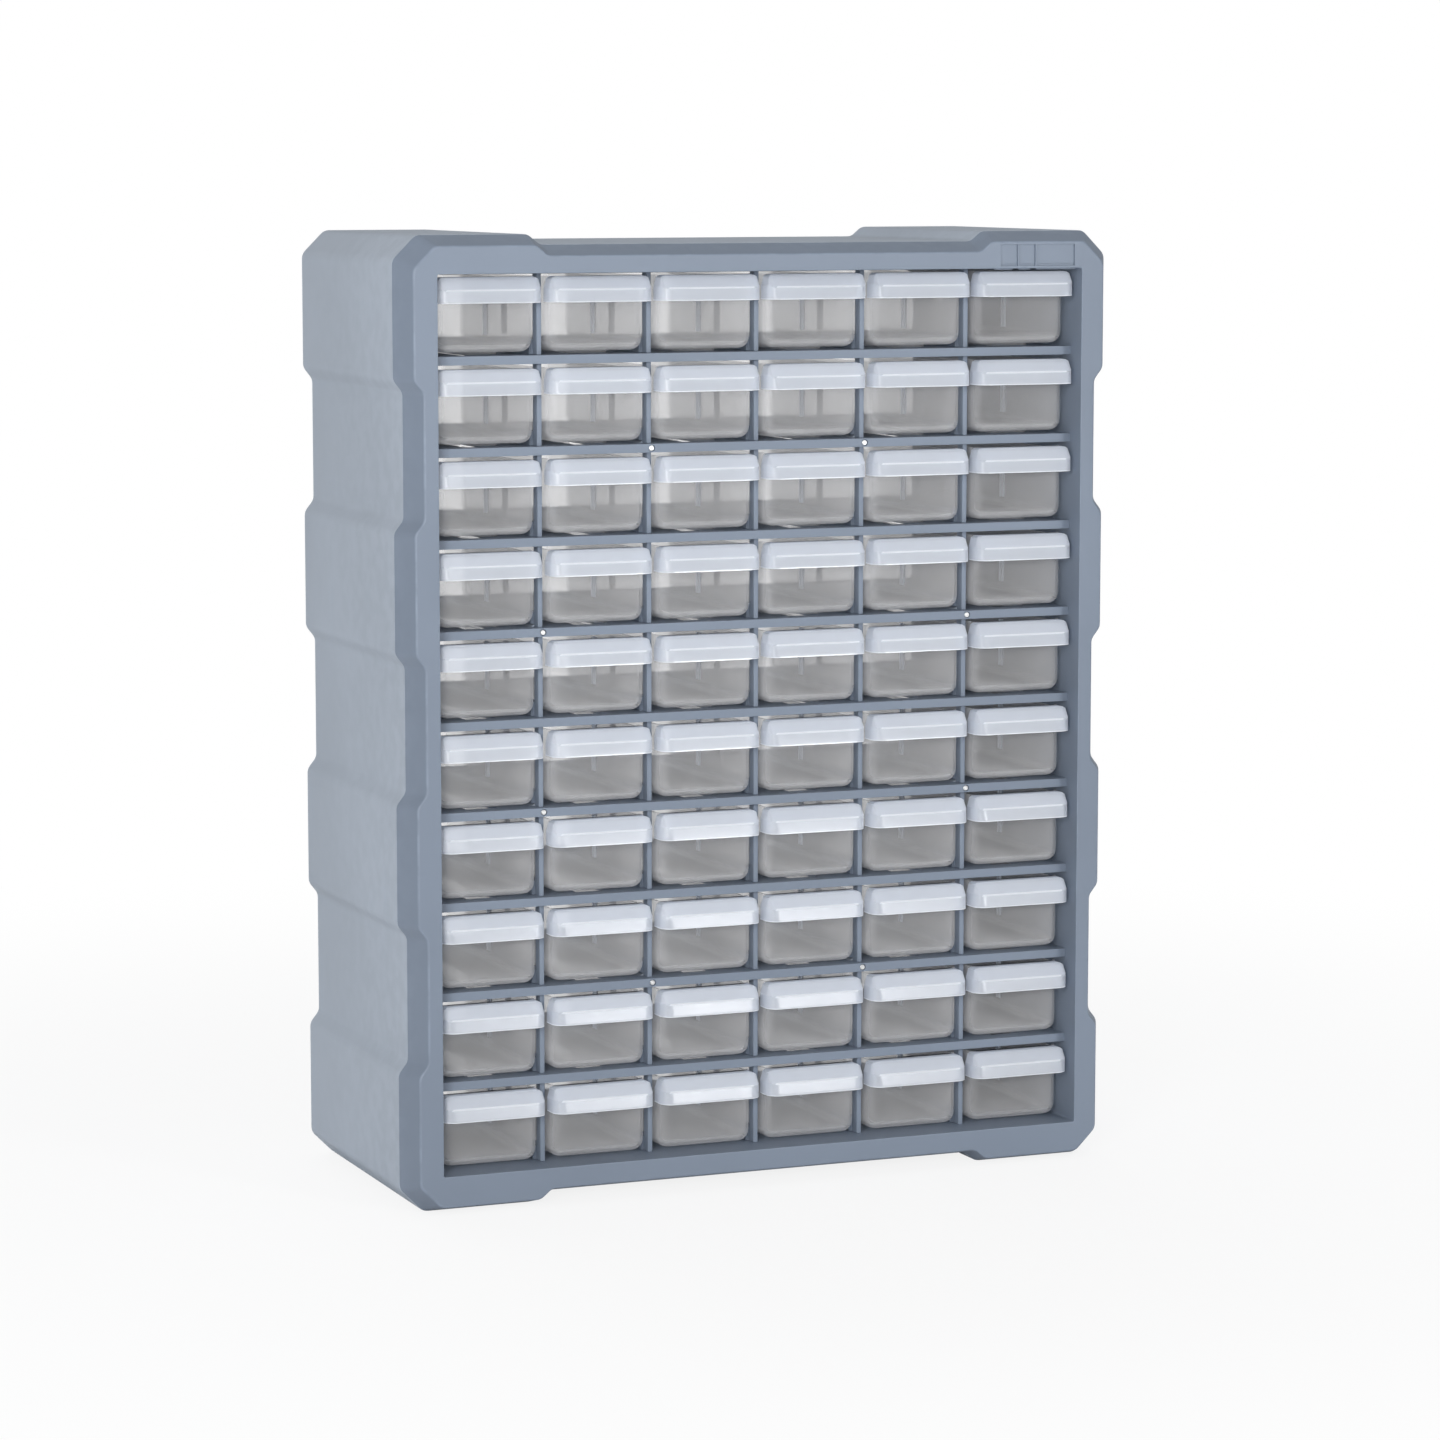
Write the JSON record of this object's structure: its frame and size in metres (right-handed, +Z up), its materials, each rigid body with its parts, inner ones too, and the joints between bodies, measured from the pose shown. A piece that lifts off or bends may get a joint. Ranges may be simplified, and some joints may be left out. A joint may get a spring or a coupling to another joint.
{
  "type": "parts bin cabinet",
  "caption": "Grey plastic parts cabinet with stepped sides, a deep front frame and a grid of small translucent pull-out drawers, each with a hooded lip to pull by.",
  "frame": {"origin": "middle of the footprint, on the surface that the cabinet stands on", "axes": "+Z up, the drawers face and open towards -Y, the back wall is at +Y, +X is to the right of someone who faces the drawers"},
  "size_m": [0.38, 0.16, 0.475],
  "materials": {
    "case": "fine satin",
    "screw": "bright",
    "drawer": "milky, translucent, glossy"
  },
  "bodies": {
    "case": {"front_band": "case", "front_shelves": "case", "front_posts": "case", "rear_shell": "case", "rear_shelves": "case", "screws": "screw"},
    "drawer_r1_c1": {"drawer_r1_c1": "drawer"},
    "drawer_r1_c2": {"drawer_r1_c2": "drawer"},
    "drawer_r1_c3": {"drawer_r1_c3": "drawer"},
    "drawer_r1_c4": {"drawer_r1_c4": "drawer"},
    "drawer_r1_c5": {"drawer_r1_c5": "drawer"},
    "drawer_r1_c6": {"drawer_r1_c6": "drawer"},
    "drawer_r2_c1": {"drawer_r2_c1": "drawer"},
    "drawer_r2_c2": {"drawer_r2_c2": "drawer"},
    "drawer_r2_c3": {"drawer_r2_c3": "drawer"},
    "drawer_r2_c4": {"drawer_r2_c4": "drawer"},
    "drawer_r2_c5": {"drawer_r2_c5": "drawer"},
    "drawer_r2_c6": {"drawer_r2_c6": "drawer"},
    "drawer_r3_c1": {"drawer_r3_c1": "drawer"},
    "drawer_r3_c2": {"drawer_r3_c2": "drawer"},
    "drawer_r3_c3": {"drawer_r3_c3": "drawer"},
    "drawer_r3_c4": {"drawer_r3_c4": "drawer"},
    "drawer_r3_c5": {"drawer_r3_c5": "drawer"},
    "drawer_r3_c6": {"drawer_r3_c6": "drawer"},
    "drawer_r4_c1": {"drawer_r4_c1": "drawer"},
    "drawer_r4_c2": {"drawer_r4_c2": "drawer"},
    "drawer_r4_c3": {"drawer_r4_c3": "drawer"},
    "drawer_r4_c4": {"drawer_r4_c4": "drawer"},
    "drawer_r4_c5": {"drawer_r4_c5": "drawer"},
    "drawer_r4_c6": {"drawer_r4_c6": "drawer"},
    "drawer_r5_c1": {"drawer_r5_c1": "drawer"},
    "drawer_r5_c2": {"drawer_r5_c2": "drawer"},
    "drawer_r5_c3": {"drawer_r5_c3": "drawer"},
    "drawer_r5_c4": {"drawer_r5_c4": "drawer"},
    "drawer_r5_c5": {"drawer_r5_c5": "drawer"},
    "drawer_r5_c6": {"drawer_r5_c6": "drawer"},
    "drawer_r6_c1": {"drawer_r6_c1": "drawer"},
    "drawer_r6_c2": {"drawer_r6_c2": "drawer"},
    "drawer_r6_c3": {"drawer_r6_c3": "drawer"},
    "drawer_r6_c4": {"drawer_r6_c4": "drawer"},
    "drawer_r6_c5": {"drawer_r6_c5": "drawer"},
    "drawer_r6_c6": {"drawer_r6_c6": "drawer"},
    "drawer_r7_c1": {"drawer_r7_c1": "drawer"},
    "drawer_r7_c2": {"drawer_r7_c2": "drawer"},
    "drawer_r7_c3": {"drawer_r7_c3": "drawer"},
    "drawer_r7_c4": {"drawer_r7_c4": "drawer"},
    "drawer_r7_c5": {"drawer_r7_c5": "drawer"},
    "drawer_r7_c6": {"drawer_r7_c6": "drawer"},
    "drawer_r8_c1": {"drawer_r8_c1": "drawer"},
    "drawer_r8_c2": {"drawer_r8_c2": "drawer"},
    "drawer_r8_c3": {"drawer_r8_c3": "drawer"},
    "drawer_r8_c4": {"drawer_r8_c4": "drawer"},
    "drawer_r8_c5": {"drawer_r8_c5": "drawer"},
    "drawer_r8_c6": {"drawer_r8_c6": "drawer"},
    "drawer_r9_c1_c2": {"drawer_r9_c1_c2": "drawer"},
    "drawer_r9_c3_c4": {"drawer_r9_c3_c4": "drawer"},
    "drawer_r9_c5_c6": {"drawer_r9_c5_c6": "drawer"},
    "drawer_r10_c1_c2": {"drawer_r10_c1_c2": "drawer"},
    "drawer_r10_c3_c4": {"drawer_r10_c3_c4": "drawer"},
    "drawer_r10_c5_c6": {"drawer_r10_c5_c6": "drawer"}
  },
  "joints": [
    {"name": "drawer_r1_c1_slide", "type": "slide", "parent": "case", "child": "drawer_r1_c1", "axis": [0, -1, 0], "range_m": [0, 0.11]},
    {"name": "drawer_r1_c2_slide", "type": "slide", "parent": "case", "child": "drawer_r1_c2", "axis": [0, -1, 0], "range_m": [0, 0.11]},
    {"name": "drawer_r1_c3_slide", "type": "slide", "parent": "case", "child": "drawer_r1_c3", "axis": [0, -1, 0], "range_m": [0, 0.11]},
    {"name": "drawer_r1_c4_slide", "type": "slide", "parent": "case", "child": "drawer_r1_c4", "axis": [0, -1, 0], "range_m": [0, 0.11]},
    {"name": "drawer_r1_c5_slide", "type": "slide", "parent": "case", "child": "drawer_r1_c5", "axis": [0, -1, 0], "range_m": [0, 0.11]},
    {"name": "drawer_r1_c6_slide", "type": "slide", "parent": "case", "child": "drawer_r1_c6", "axis": [0, -1, 0], "range_m": [0, 0.11]},
    {"name": "drawer_r2_c1_slide", "type": "slide", "parent": "case", "child": "drawer_r2_c1", "axis": [0, -1, 0], "range_m": [0, 0.11]},
    {"name": "drawer_r2_c2_slide", "type": "slide", "parent": "case", "child": "drawer_r2_c2", "axis": [0, -1, 0], "range_m": [0, 0.11]},
    {"name": "drawer_r2_c3_slide", "type": "slide", "parent": "case", "child": "drawer_r2_c3", "axis": [0, -1, 0], "range_m": [0, 0.11]},
    {"name": "drawer_r2_c4_slide", "type": "slide", "parent": "case", "child": "drawer_r2_c4", "axis": [0, -1, 0], "range_m": [0, 0.11]},
    {"name": "drawer_r2_c5_slide", "type": "slide", "parent": "case", "child": "drawer_r2_c5", "axis": [0, -1, 0], "range_m": [0, 0.11]},
    {"name": "drawer_r2_c6_slide", "type": "slide", "parent": "case", "child": "drawer_r2_c6", "axis": [0, -1, 0], "range_m": [0, 0.11]},
    {"name": "drawer_r3_c1_slide", "type": "slide", "parent": "case", "child": "drawer_r3_c1", "axis": [0, -1, 0], "range_m": [0, 0.11]},
    {"name": "drawer_r3_c2_slide", "type": "slide", "parent": "case", "child": "drawer_r3_c2", "axis": [0, -1, 0], "range_m": [0, 0.11]},
    {"name": "drawer_r3_c3_slide", "type": "slide", "parent": "case", "child": "drawer_r3_c3", "axis": [0, -1, 0], "range_m": [0, 0.11]},
    {"name": "drawer_r3_c4_slide", "type": "slide", "parent": "case", "child": "drawer_r3_c4", "axis": [0, -1, 0], "range_m": [0, 0.11]},
    {"name": "drawer_r3_c5_slide", "type": "slide", "parent": "case", "child": "drawer_r3_c5", "axis": [0, -1, 0], "range_m": [0, 0.11]},
    {"name": "drawer_r3_c6_slide", "type": "slide", "parent": "case", "child": "drawer_r3_c6", "axis": [0, -1, 0], "range_m": [0, 0.11]},
    {"name": "drawer_r4_c1_slide", "type": "slide", "parent": "case", "child": "drawer_r4_c1", "axis": [0, -1, 0], "range_m": [0, 0.11]},
    {"name": "drawer_r4_c2_slide", "type": "slide", "parent": "case", "child": "drawer_r4_c2", "axis": [0, -1, 0], "range_m": [0, 0.11]},
    {"name": "drawer_r4_c3_slide", "type": "slide", "parent": "case", "child": "drawer_r4_c3", "axis": [0, -1, 0], "range_m": [0, 0.11]},
    {"name": "drawer_r4_c4_slide", "type": "slide", "parent": "case", "child": "drawer_r4_c4", "axis": [0, -1, 0], "range_m": [0, 0.11]},
    {"name": "drawer_r4_c5_slide", "type": "slide", "parent": "case", "child": "drawer_r4_c5", "axis": [0, -1, 0], "range_m": [0, 0.11]},
    {"name": "drawer_r4_c6_slide", "type": "slide", "parent": "case", "child": "drawer_r4_c6", "axis": [0, -1, 0], "range_m": [0, 0.11]},
    {"name": "drawer_r5_c1_slide", "type": "slide", "parent": "case", "child": "drawer_r5_c1", "axis": [0, -1, 0], "range_m": [0, 0.11]},
    {"name": "drawer_r5_c2_slide", "type": "slide", "parent": "case", "child": "drawer_r5_c2", "axis": [0, -1, 0], "range_m": [0, 0.11]},
    {"name": "drawer_r5_c3_slide", "type": "slide", "parent": "case", "child": "drawer_r5_c3", "axis": [0, -1, 0], "range_m": [0, 0.11]},
    {"name": "drawer_r5_c4_slide", "type": "slide", "parent": "case", "child": "drawer_r5_c4", "axis": [0, -1, 0], "range_m": [0, 0.11]},
    {"name": "drawer_r5_c5_slide", "type": "slide", "parent": "case", "child": "drawer_r5_c5", "axis": [0, -1, 0], "range_m": [0, 0.11]},
    {"name": "drawer_r5_c6_slide", "type": "slide", "parent": "case", "child": "drawer_r5_c6", "axis": [0, -1, 0], "range_m": [0, 0.11]},
    {"name": "drawer_r6_c1_slide", "type": "slide", "parent": "case", "child": "drawer_r6_c1", "axis": [0, -1, 0], "range_m": [0, 0.11]},
    {"name": "drawer_r6_c2_slide", "type": "slide", "parent": "case", "child": "drawer_r6_c2", "axis": [0, -1, 0], "range_m": [0, 0.11]},
    {"name": "drawer_r6_c3_slide", "type": "slide", "parent": "case", "child": "drawer_r6_c3", "axis": [0, -1, 0], "range_m": [0, 0.11]},
    {"name": "drawer_r6_c4_slide", "type": "slide", "parent": "case", "child": "drawer_r6_c4", "axis": [0, -1, 0], "range_m": [0, 0.11]},
    {"name": "drawer_r6_c5_slide", "type": "slide", "parent": "case", "child": "drawer_r6_c5", "axis": [0, -1, 0], "range_m": [0, 0.11]},
    {"name": "drawer_r6_c6_slide", "type": "slide", "parent": "case", "child": "drawer_r6_c6", "axis": [0, -1, 0], "range_m": [0, 0.11]},
    {"name": "drawer_r7_c1_slide", "type": "slide", "parent": "case", "child": "drawer_r7_c1", "axis": [0, -1, 0], "range_m": [0, 0.11]},
    {"name": "drawer_r7_c2_slide", "type": "slide", "parent": "case", "child": "drawer_r7_c2", "axis": [0, -1, 0], "range_m": [0, 0.11]},
    {"name": "drawer_r7_c3_slide", "type": "slide", "parent": "case", "child": "drawer_r7_c3", "axis": [0, -1, 0], "range_m": [0, 0.11]},
    {"name": "drawer_r7_c4_slide", "type": "slide", "parent": "case", "child": "drawer_r7_c4", "axis": [0, -1, 0], "range_m": [0, 0.11]},
    {"name": "drawer_r7_c5_slide", "type": "slide", "parent": "case", "child": "drawer_r7_c5", "axis": [0, -1, 0], "range_m": [0, 0.11]},
    {"name": "drawer_r7_c6_slide", "type": "slide", "parent": "case", "child": "drawer_r7_c6", "axis": [0, -1, 0], "range_m": [0, 0.11]},
    {"name": "drawer_r8_c1_slide", "type": "slide", "parent": "case", "child": "drawer_r8_c1", "axis": [0, -1, 0], "range_m": [0, 0.11]},
    {"name": "drawer_r8_c2_slide", "type": "slide", "parent": "case", "child": "drawer_r8_c2", "axis": [0, -1, 0], "range_m": [0, 0.11]},
    {"name": "drawer_r8_c3_slide", "type": "slide", "parent": "case", "child": "drawer_r8_c3", "axis": [0, -1, 0], "range_m": [0, 0.11]},
    {"name": "drawer_r8_c4_slide", "type": "slide", "parent": "case", "child": "drawer_r8_c4", "axis": [0, -1, 0], "range_m": [0, 0.11]},
    {"name": "drawer_r8_c5_slide", "type": "slide", "parent": "case", "child": "drawer_r8_c5", "axis": [0, -1, 0], "range_m": [0, 0.11]},
    {"name": "drawer_r8_c6_slide", "type": "slide", "parent": "case", "child": "drawer_r8_c6", "axis": [0, -1, 0], "range_m": [0, 0.11]},
    {"name": "drawer_r9_c1_c2_slide", "type": "slide", "parent": "case", "child": "drawer_r9_c1_c2", "axis": [0, -1, 0], "range_m": [0, 0.11]},
    {"name": "drawer_r9_c3_c4_slide", "type": "slide", "parent": "case", "child": "drawer_r9_c3_c4", "axis": [0, -1, 0], "range_m": [0, 0.11]},
    {"name": "drawer_r9_c5_c6_slide", "type": "slide", "parent": "case", "child": "drawer_r9_c5_c6", "axis": [0, -1, 0], "range_m": [0, 0.11]},
    {"name": "drawer_r10_c1_c2_slide", "type": "slide", "parent": "case", "child": "drawer_r10_c1_c2", "axis": [0, -1, 0], "range_m": [0, 0.11]},
    {"name": "drawer_r10_c3_c4_slide", "type": "slide", "parent": "case", "child": "drawer_r10_c3_c4", "axis": [0, -1, 0], "range_m": [0, 0.11]},
    {"name": "drawer_r10_c5_c6_slide", "type": "slide", "parent": "case", "child": "drawer_r10_c5_c6", "axis": [0, -1, 0], "range_m": [0, 0.11]}
  ]
}
